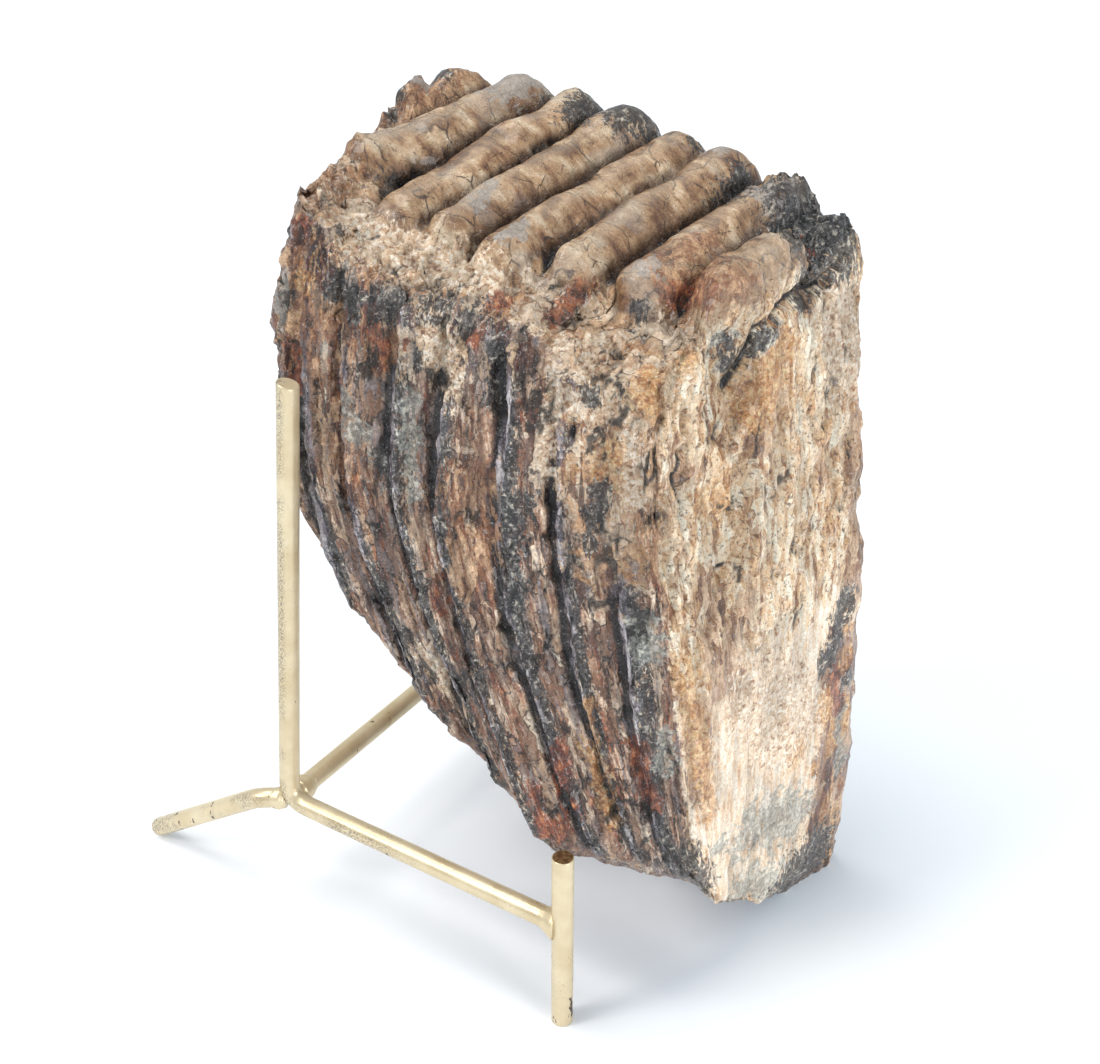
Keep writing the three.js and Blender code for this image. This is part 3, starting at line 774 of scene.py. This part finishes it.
def fossil_material():
    k = Tree("fossil_tooth")
    grain = k.attribute("grain")  # along the plates, across, height, in mm
    spot = k.attribute("spot")  # plain place in the tooth, mm
    crown, end, sheet = k.marks("zones")
    bevel, band, groove = k.marks("forms")
    ridge, inside, cut = k.marks("tops")
    strip, under_rim, low_end = k.marks("chips")
    # crust marks: each shard's number, the painted shade and light of the fine relief, and the seams
    shard, wear_and_relief_shade, seam = k.marks("crust")
    cream, coal, rust = k.marks("stains")
    ochre, umber, slate = k.marks("tints")

    streak = k.scaled(grain, 1, 1, 0.13)
    speck = k.noise(spot, 1.5, 6, 0.8)
    fine = k.noise(spot, 1.0, 5, 0.65)
    medium = k.noise(spot, 0.35, 5, 0.65, 0.4)
    broad = k.noise(spot, 0.08, 4)
    streaks = k.noise(streak, 0.9, 5, 0.65, 0.3)
    thin_streaks = k.noise(streak, 2.6, 4, 0.65)
    veins = k.noise(streak, 0.32, 5, 0.62, 0.8)
    flecks = k.noise(k.scaled(grain, 1, 1, 0.4), 1.0, 5, 0.7, 0.4)
    ruffled = k.shifted(spot, 0.8, 1.6, 1.6, 1.6)
    grit, grit_middle = k.grains(ruffled, 1.3)
    slivers, _ = k.grains(k.scaled(k.shifted(grain, 0.5, 2, 2, 2), 1, 1, 0.3), 0.6)
    wavy = k.shifted(spot, 0.3, 5, 5, 5)
    flaws = k.band(k.cracks(wavy, 0.2), 0.05, 0.01)
    rifts = k.band(k.cracks(k.shifted(spot, 0.12, 7, 7, 7), 0.08), 0.02, 0.004)
    lump, _ = k.grains(wavy, 0.2)
    drawn = k.scaled(k.shifted(grain, 0.25, 6, 6, 10), 1, 1, 0.22)
    splits = k.band(k.cracks(drawn, 0.3), 0.07, 0.01)
    shingle, _ = k.grains(drawn, 0.3)
    # Both run from about 0.3 to 0.7
    crumb = k.sum(k.both(grit, 0.25), k.both(k.sum(medium, fine), 0.375))
    splinter = k.sum(k.both(slivers, 0.25), k.both(streaks, 0.75))

    # Palettes
    coals = k.ramp(crumb, (0.3, 18, 17, 18), (0.5, 50, 48, 48), (0.6, 104, 102, 100), (0.68, 216, 204, 184))
    creams = k.ramp(
        crumb, (0.34, 140, 98, 70), (0.42, 204, 170, 136), (0.52, 230, 204, 174), (0.66, 252, 240, 222)
    )
    rusty = k.sum(k.both(medium, 0.55), k.both(streaks, 0.45))
    rusts = k.ramp(rusty, (0.38, 38, 22, 18), (0.46, 94, 46, 32), (0.54, 158, 82, 46), (0.64, 222, 152, 102))
    ochres = k.ramp(crumb, (0.32, 128, 72, 34), (0.48, 206, 144, 82), (0.64, 240, 208, 154))
    umbers = k.ramp(splinter, (0.36, 62, 34, 22), (0.48, 142, 90, 58), (0.64, 208, 166, 126))
    slates = k.ramp(crumb, (0.32, 80, 84, 86), (0.5, 152, 154, 146), (0.66, 222, 218, 204))
    blacks = k.ramp(fine, (0.42, 12, 9, 8), (0.66, 48, 36, 30))

    # Sides: brown fibre and chips; grey-lilac crests, also lightened as a painted highlight; charcoal beside
    # them, partly painted shade, and cream; grooves painted dark as shade
    browns = k.ramp(
        splinter, (0.36, 58, 36, 28), (0.44, 128, 92, 70), (0.54, 188, 150, 122), (0.64, 244, 220, 194)
    )
    chips = k.ramp(
        shingle, (0.0, 58, 52, 54), (0.17, 128, 84, 60), (0.34, 176, 140, 114), (0.5, 122, 110, 110),
        (0.67, 160, 116, 88), (0.84, 214, 182, 150), (1.0, 246, 228, 204),
    )
    greys = k.ramp(crumb, (0.34, 66, 62, 66), (0.66, 182, 174, 176))
    lilac = k.ramp(
        splinter, (0.36, 74, 70, 80), (0.46, 134, 130, 140), (0.54, 166, 160, 166), (0.64, 206, 202, 206)
    )
    rim_chips = k.ramp(
        shingle, (0.0, 40, 36, 40), (0.2, 92, 42, 28), (0.4, 70, 70, 78), (0.6, 206, 172, 134),
        (0.8, 96, 76, 66), (1.0, 150, 146, 140),
    )
    flank = k.layers(
        browns,
        (chips, k.band(broad, 0.4, 0.58), 0.8),
        (rusts, k.band(veins, 0.54, 0.62), 0.75),
        (greys, k.band(veins, 0.46, 0.38), 0.65),
        # grey-lilac on the crests' rising side, also a painted highlight
        (lilac, k.band(bevel, 0.2, 0.5), k.band(medium, 0.34, 0.46), 0.9),
        # charcoal just past each crest: dark mineral and painted shade
        (coals, k.ragged(k.both(band, 1.1), flecks), k.band(broad, 0.34, 0.46), 0.9),
        (creams, k.band(band, 0.3, 0.6), k.band(flecks, 0.54, 0.62), k.band(veins, 0.46, 0.56), 0.85),
        (rim_chips, under_rim, k.band(veins, 0.38, 0.48), 0.88),
        (blacks, splits, k.band(medium, 0.42, 0.54), 0.85),
        # painted shade: the grooves darkened
        (blacks, k.band(groove, 0.2, 0.7), k.band(streaks, 0.34, 0.46), 0.9),
    )
    dull = k.over(umbers, ochres, 0.5)
    chunk = k.sum(k.both(lump, 0.3), k.both(k.sum(medium, broad), 0.35))
    nuggets = k.ramp(
        shard, (0.0, 124, 84, 58), (0.35, 198, 162, 126), (0.7, 228, 204, 176), (1.0, 148, 106, 74)
    )
    cement = k.layers(
        creams,
        (dull, k.band(chunk, 0.55, 0.43)),
        (nuggets, 0.45),
        ((76, 54, 42), k.band(medium, 0.44, 0.38), 0.75),
        ((184, 164, 142), k.band(chunk, 0.57, 0.63), 0.45),
        ((70, 50, 38), flaws, k.band(medium, 0.5, 0.56), 0.85),
    )
    plate_cement = k.over(cement, umbers, k.band(veins, 0.53, 0.6), 0.85)
    flank = k.over(flank, plate_cement, k.ragged(sheet, medium))

    # Crown: tan ridges between crumbly cement, with painted light on their crests, painted shade darkening
    # their flanks into the valleys and black painted shade at the valley bottoms
    rings = k.noise(k.scaled(spot, 0.22, 1, 0.25), 0.6, 5, 0.6, 0.3)
    patches = k.noise(spot, 0.13, 4, 0.55, 0.8)
    tans = k.ramp(
        k.sum(k.both(rings, 0.35), k.both(patches, 0.65)), (0.38, 106, 72, 48), (0.45, 148, 110, 77),
        (0.53, 180, 145, 109), (0.62, 212, 188, 158),
    )
    wrinkles = k.hairlines(k.scaled(spot, 0.2, 1, 0.25), 0.28)
    tans = k.layers(
        tans,
        ((104, 72, 52), k.band(rings, 0.4, 0.34), 0.5),
        ((78, 54, 40), wrinkles, k.band(medium, 0.48, 0.56), 0.6),
        ((60, 42, 34), rifts, k.band(medium, 0.42, 0.5), 0.9),
        ((92, 66, 50), k.band(k.noise(spot, 0.9, 3, 0.6), 0.37, 0.33), 0.7),
        ((172, 160, 150), k.band(broad, 0.54, 0.62), 0.35),
        # painted light: the ridge crests lightened
        ((232, 210, 182), k.band(ridge, 0.45, 1.0), 0.25),
    )
    # painted shade: the flanks darken towards the valleys
    slope = k.ramp(fine, (0.4, 58, 38, 28), (0.64, 112, 80, 58))
    low = k.sum(ridge, k.both(k.less(medium, 0.5), 0.15))
    top = k.over(slope, tans, k.band(low, 0.0, 0.3))
    # painted shade: black at the valley bottoms, rust-coloured where the rust stain lies
    deep = k.over(blacks, rusts, k.ragged(rust, fine))
    top = k.over(top, deep, k.band(low, 0.09, 0.01), k.band(inside, 0.3, 0.7))
    top = k.over(top, cement, k.band(low, 0.2, 0.05), k.band(inside, 0.7, 0.3))

    # End face: cream bone, streaked and porous above, smooth and pale below
    face = k.ramp(
        splinter, (0.34, 150, 100, 62), (0.43, 220, 178, 132), (0.52, 242, 212, 174), (0.64, 255, 244, 220)
    )
    pores = k.both(k.band(fine, 0.43, 0.37), k.band(low_end, 0.6, 0.2))
    silk = k.ramp(streaks, (0.34, 214, 172, 134), (0.46, 240, 212, 180), (0.6, 252, 240, 222))
    face = k.layers(
        face,
        (creams, k.band(medium, 0.5, 0.58), 0.5),
        (umbers, k.band(veins, 0.55, 0.62), 0.75),
        (ochres, k.band(broad, 0.52, 0.64), 0.5),
        ((96, 64, 44), pores, 0.8),
        (silk, k.ragged(low_end, medium), 0.9),
    )
    bark = k.over(umbers, chips, 0.5)
    bark = k.over(bark, ochres, k.band(veins, 0.5, 0.58), 0.8)
    bark = k.over(bark, greys, k.band(broad, 0.5, 0.58), 0.45)
    face = k.over(face, bark, k.ragged(strip, flecks, 2.0))

    log = k.both(k.band(crown, 0.4, 0.7), k.band(low, 0.05, 0.3))
    slates = k.over(slates, (170, 161, 154), log, 0.8)
    edge = k.both(k.less(medium, 0.5), 0.9)
    stained = k.less(0.85, k.both(log, 0.35))
    # painted glints: small white highlights laid on the colour
    painted_glints = k.band(k.noise(spot, 1.8, 4, 0.7), 0.6, 0.66)
    colour = k.layers(
        flank,
        (face, k.band(k.sum(end, edge), 0.45, 0.6)),
        (top, k.band(k.sum(crown, edge), 0.5, 0.66)),
        (umbers, k.ragged(umber, streaks, 3.4), 0.75),
        (creams, k.ragged(cream, flecks), 0.85),
        (ochres, k.ragged(ochre, flecks), 0.65),
        (slates, k.ragged(slate, medium, 3.4), 0.68),
        (rusts, k.ragged(rust, flecks, 2.2), stained),
        (coals, k.ragged(coal, flecks, 3.0), 0.9),
        (blacks, k.band(seam, 0.25, 0.7), k.band(medium, 0.4, 0.5), 0.85),
        (blacks, k.band(cut, 0.35, 0.75)),
        ((244, 240, 236), painted_glints, k.less(1.0, k.both(log, 0.75)), 0.5),
    )
    # painted shade in the relief's hollows and painted light on its raised spots
    colour = k.shaded(colour, wear_and_relief_shade, 0.78, 1.14)
    calm = k.most(k.both(crown, 0.62), 0.25, k.both(k.most(end, sheet), 0.55))
    colour = k.over(k.shaded(colour, speck, 0.52, 1.42), colour, calm)

    lively = k.less(1.0, k.most(k.both(log, 0.3), k.both(k.band(low_end, 0.3, 0.9), 0.6)))
    grainy = k.sum(k.both(grit, 0.6), k.both(grit_middle, -0.6))
    normal = k.bumped(grainy, k.both(lively, 0.5), 0.0003)
    normal = k.bumped(thin_streaks, k.both(lively, 0.6), 0.0004, normal)
    normal = k.bumped(k.noise(spot, 0.7, 6, 0.7), k.both(lively, 0.8), 0.0009, normal)
    open_cracks = k.most(k.both(flaws, 0.6), k.both(splits, k.band(crown, 0.5, 0.2)))
    normal = k.bumped(open_cracks, 0.5, -0.0005, normal)
    rough = k.sum(k.both(k.band(fine, 0.36, 0.64), 0.46), 0.16)
    return k.finish(Base_Color=colour, Roughness=rough, Normal=normal, Coat_Weight=0.32, Coat_Roughness=0.1)


def gold_paint_material():
    k = Tree("worn_gold_paint")
    place = k.node("TexCoord").outputs["Object"]
    hidden, cap, low = k.marks("wear")  # turned down or away, cut end (brown metal, also painted shade on the posts' tops), near the floor
    speckle = k.noise(place, 2600, 2)
    mottle = k.noise(place, 140, 4)
    patchy = k.noise(place, 60, 3)
    paint = k.ramp(mottle, (0.35, 214, 194, 156), (0.65, 228, 212, 178))
    dusty = k.both(k.band(hidden, 0.3, 0.75), k.band(speckle, 0.42, 0.6), k.band(patchy, 0.36, 0.5), 0.75)
    # real wear of the paint, in speckled patches
    wear_and_relief_shade = k.both(k.band(speckle, 0.62, 0.72), k.band(patchy, 0.45, 0.62), 0.7)
    chipped = k.sum(k.noise(k.scaled(place, 1, 1, 0.5), 330, 4, 0.6), k.both(low, 0.09))
    # brown metal for the cut ends, which on the posts' tops, under the tooth, also stands in for painted
    # shade
    bare_brass_and_shade = k.ramp(k.noise(place, 900, 3), (0.4, 96, 70, 46), (0.62, 150, 118, 82))
    sawn = k.sum(cap, k.both(k.less(mottle, 0.5), 1.4))
    paint = k.layers(
        paint,
        ((126, 116, 106), dusty),
        ((110, 98, 84), wear_and_relief_shade),
        ((66, 52, 42), k.band(chipped, 0.68, 0.7)),
        (bare_brass_and_shade, k.band(sawn, 0.4, 0.55)),
    )
    rough = k.sum(k.both(mottle, 0.3), 0.18)
    normal = k.bumped(k.noise(place, 900, 3), 0.25, 0.0002)
    return k.finish(Base_Color=paint, Roughness=rough, Normal=normal, Metallic=0.45)


# ---------------- tooth piece


tooth = new_mesh("tooth_surface", world, faces, fossil_material())
MARKS = {
    "grain": (u * PLATE_LENGTH, points[:, 1], points[:, 2]),
    "spot": points.T,
    "zones": (on_crown, on_end, sheet),
    "forms": (bevel, band, groove),
    "tops": (ridge, inside, cut_mark),
    "chips": (strip, under_rim, low_end),
    "crust": (shards[2], wear_and_relief_shade, seams),
    "stains": (stain["cream"], stain["coal"], stain["rust"]),
    "tints": (stain["ochre"], stain["umber"], stain["slate"]),
}
for name, channels in MARKS.items():
    add_vectors(tooth, name, channels)
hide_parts("mammoth_molar")

# ---------------- stand pieces

ROD_SIDES = 32
ROD_STEP = 2.0
BEND_POINTS = 10
ROD_END = ((0, 0.88), (0.08, 0.96), (0.25, 1.0))  # from a sawn end, mm; share of the radius
ROD_SEAM = (0.3, 0.9, 0.31)  # a direction that no rod runs along
UNEVENNESS = 0.012
DUST = 0.45
DUST_FADE = (10, 60)  # right of the hub, for a rod that is dusty at its left end
CHIPPED_HEIGHT = (4, 22)  # the paint is chipped below this
WELD_RINGS = 20
WELD_DUST = 0.4
HUB_WELD_REACH = 4.5
HUB_WELD_SHIFT = (0.4, 0, 0.2)
# Beads of weld: distance along the rod, radius
HUB_WELD = [(-3.2, 1.6), (-1.6, 3.1), (0.6, 3.3), (2.2, 2.9), (3.2, 2.3)]
LEG_WELD = [(1.0, 2.4), (2.4, 2.9), (3.4, 2.7), (4.6, 2.3)]
POST_WELD = [(-6, 2.35), (-5, 2.55), (-4, 2.8), (-3, 3.15), (-2, 3.5), (-1.2, 3.6)]

gold_paint = gold_paint_material()


def bend(start, knee, end, reach):
    """Points along a rod that is bent once, at the knee."""
    into = knee + unit(start - knee) * reach
    out = knee + unit(end - knee) * reach
    s = np.linspace(0, 1, BEND_POINTS)[:, None]
    curve = (1 - s) ** 2 * into + 2 * s * (1 - s) * knee + s * s * out
    return np.vstack([start, curve, end])


def evenly(path):
    path = np.array(path, float)
    reach = np.append(0, np.cumsum(lengths(np.diff(path, axis=0))))
    marks = np.linspace(0, reach[-1], max(int(reach[-1] / ROD_STEP), 2) + 1)
    return np.stack([np.interp(marks, reach, path[:, k]) for k in range(3)], axis=1)


def ring(across, upward):
    """Directions all round a rod."""
    turns = np.linspace(0, 2 * math.pi, ROD_SIDES, endpoint=False)[:, None]
    return np.cos(turns) * across + np.sin(turns) * upward


def tube_faces(rings):
    """Faces of a closed tube of rings, its two ends last."""
    faces = []
    for i, j in itertools.product(range(rings - 1), range(ROD_SIDES)):
        k = (j + 1) % ROD_SIDES
        a, b = i * ROD_SIDES, (i + 1) * ROD_SIDES
        faces.append((a + j, a + k, b + k, b + j))
    last = (rings - 1) * ROD_SIDES
    return faces + [tuple(range(ROD_SIDES))[::-1], tuple(range(last, last + ROD_SIDES))]


def add_wear(piece, points, outward, cap, dust):
    """Where the paint is dusty (turned down or to the left), brown metal at a cut end (on the posts' tops
    also painted shade), or chipped near the floor.
    """
    hidden = np.maximum(-outward[:, 2], -outward[:, 0] * 0.9 - outward[:, 1] * 0.3)
    near_floor = 1 - step_up(points[:, 2], *CHIPPED_HEIGHT)
    add_vectors(piece, "wear", (np.clip(hidden, 0, 1) * dust, cap, near_floor))


def rod(name, node, path, bare_brass_and_shade=(0, 0), slant=0, dusty=False):
    """A round rod in place of a node, sawn off square or slanted, its surface faintly uneven."""
    path = evenly(path)
    ahead, behind = unit(path[1] - path[0]), unit(path[-2] - path[-1])
    start = [path[0] + ahead * reach for reach, _ in ROD_END]
    finish = [path[-1] + behind * reach for reach, _ in ROD_END[::-1]]
    rings = np.array([*start, *path[1:-1], *finish])
    sizes = [size for _, size in ROD_END]
    sizes = sizes + [1.0] * (len(path) - 2) + sizes[::-1]
    forward = np.gradient(rings, axis=0)
    forward /= lengths(forward)[:, None]
    across = np.cross(forward[0], ROD_SEAM)
    outward = []
    for ahead in forward:
        across = unit(across - ahead * across.dot(ahead))
        outward.append(ring(across, np.cross(ahead, across)))
    outward = np.concatenate(outward)
    centres = np.repeat(rings, ROD_SIDES, axis=0)
    sizes = np.repeat(sizes, ROD_SIDES)[:, None]
    points = centres + outward * ROD_RADIUS * sizes
    uneven = 1 - UNEVENNESS * (1 + noise(points, 6, 71))
    points = centres + (points - centres) * uneven[:, None]
    # the first end may slope down to the right
    first = slice(0, len(ROD_END) * ROD_SIDES)
    lean = np.maximum(outward[first, 0] + 1, 0) * slant
    points[first] += forward[0] * lean[:, None] * sizes[first]
    cap = np.zeros(len(points))
    cap[:ROD_SIDES], cap[-ROD_SIDES:] = bare_brass_and_shade
    piece = new_mesh(name, points, tube_faces(len(rings)), gold_paint)
    dust = 1 - step_up(points[:, 0] - HUB[0], *DUST_FADE) if dusty else DUST
    add_wear(piece, points, outward, cap, dust)
    for face in piece.data.polygons[-2:]:
        face.use_smooth = False
    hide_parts(node)


def weld(name, middle, ahead, profile, roughness, drop=0):
    """A bead of weld around a rod: rings along a profile from a middle, sagging where thick."""
    across = unit(np.cross(ahead, (0.0, 0.0, 1.0)))
    upward = np.cross(across, ahead)
    outward = ring(across, upward)
    rings = []
    for reach in np.linspace(profile[0][0], profile[-1][0], WELD_RINGS):
        radius = np.interp(reach, *zip(*profile))
        sag = drop * max(radius - ROD_RADIUS, 0)
        rings.append(middle + ahead * reach + outward * radius - upward * sag)
    points = np.concatenate(rings)
    outward = np.tile(outward, (WELD_RINGS, 1))
    points += outward * (roughness * noise(points, 2.2, 72))[:, None]
    piece = new_mesh(name, points, tube_faces(WELD_RINGS), gold_paint)
    add_wear(piece, points, outward, np.zeros(len(points)), WELD_DUST)


front, back = heading(FRONT_ARM), heading(BACK_ARM)
hub = HUB + (0, 0, ARM_HEIGHT)
knee = HUB + REAR_LEG_KNEE
leg = unit(knee - hub)
arm_reach = ARM_LENGTH - ROD_RADIUS
upright = bend(HUB + UPRIGHT_TOP, hub, hub + front * arm_reach, HUB_BEND)
rod("upright_rod", "upright_and_front_arm", upright, slant=0.5, dusty=True)
rod("back_arm_rod", "back_arm", [hub + back * 1.5, hub + back * arm_reach])
# the posts' top ends are painted brown metal, which also stands in for the tooth's shade over them
for side, arm in (("front", front), ("back", back)):
    foot = HUB + arm * ARM_LENGTH
    rod(f"{side}_post_rod", f"{side}_post", [foot, foot + (0, 0, POST_HEIGHT)], bare_brass_and_shade=(0, 1))
rear_leg = bend(hub + leg * 0.5, knee, HUB + REAR_LEG_FOOT, REAR_LEG_BEND)
rod("rear_leg_rod", "rear_leg", rear_leg, dusty=True)
weld("hub_weld", hub + back * HUB_WELD_REACH + HUB_WELD_SHIFT, back, HUB_WELD, 0.5)
weld("leg_weld", hub, leg, LEG_WELD, 0.3)
for side, arm in (("front", front), ("back", back)):
    weld(f"{side}_weld", hub + arm * ARM_LENGTH, arm, POST_WELD, 0.12, drop=0.5)


# ---------------- stage

FLOOR_HALF = 30.0
FLOOR_GLOW = (0.55, 0.76, 1.0, 1)
FLOOR_GLOW_STRENGTH = 0.13
SKY_COLOUR = (0.84, 0.93, 1.0, 1)
SKY_STRENGTH = 0.54


def paper_material():
    k = Tree("pale_floor")
    # a faint light of its own keeps its shadows as pale and blue as the photo's
    k.shader.inputs["Emission Color"].default_value = FLOOR_GLOW
    return k.finish(Base_Color=(244, 245, 247), Roughness=0.9, Emission_Strength=FLOOR_GLOW_STRENGTH)


floor_mesh = bpy.data.meshes.new("floor")
floor_corners = [(x * FLOOR_HALF, y * FLOOR_HALF, 0) for x, y in ((-1, -1), (1, -1), (1, 1), (-1, 1))]
floor_mesh.from_pydata(floor_corners, [], [(0, 1, 2, 3)])
floor_mesh.materials.append(paper_material())
add_object("floor", floor_mesh)

sky = bpy.data.worlds.new("studio")
sky.use_nodes = True
background = sky.node_tree.nodes["Background"].inputs
background["Color"].default_value = SKY_COLOUR
background["Strength"].default_value = SKY_STRENGTH
bpy.context.scene.world = sky


def soft_sun(name, azimuth, elevation, spread, strength, colour=(1, 1, 1)):
    """Soft light from a compass direction and height, spread over an angle, in degrees."""
    azimuth, elevation = math.radians(azimuth), math.radians(elevation)
    level = math.cos(elevation)
    aim = Vector((math.cos(azimuth) * level, math.sin(azimuth) * level, math.sin(elevation)))
    data = bpy.data.lights.new(name, "SUN")
    data.angle = math.radians(spread)
    data.energy = strength
    data.color = colour
    light = add_object(name, data)
    light.location = aim
    light.rotation_euler = aim.to_track_quat("Z", "Y").to_euler()


soft_sun("top", 165, 72, 34, 1.55, (1, 0.99, 0.97))
soft_sun("left", 200, 42, 18, 1.0, (1, 0.97, 0.93))
soft_sun("right", -46, 15, 24, 1.35)
bpy.context.scene.view_settings.view_transform = "Standard"
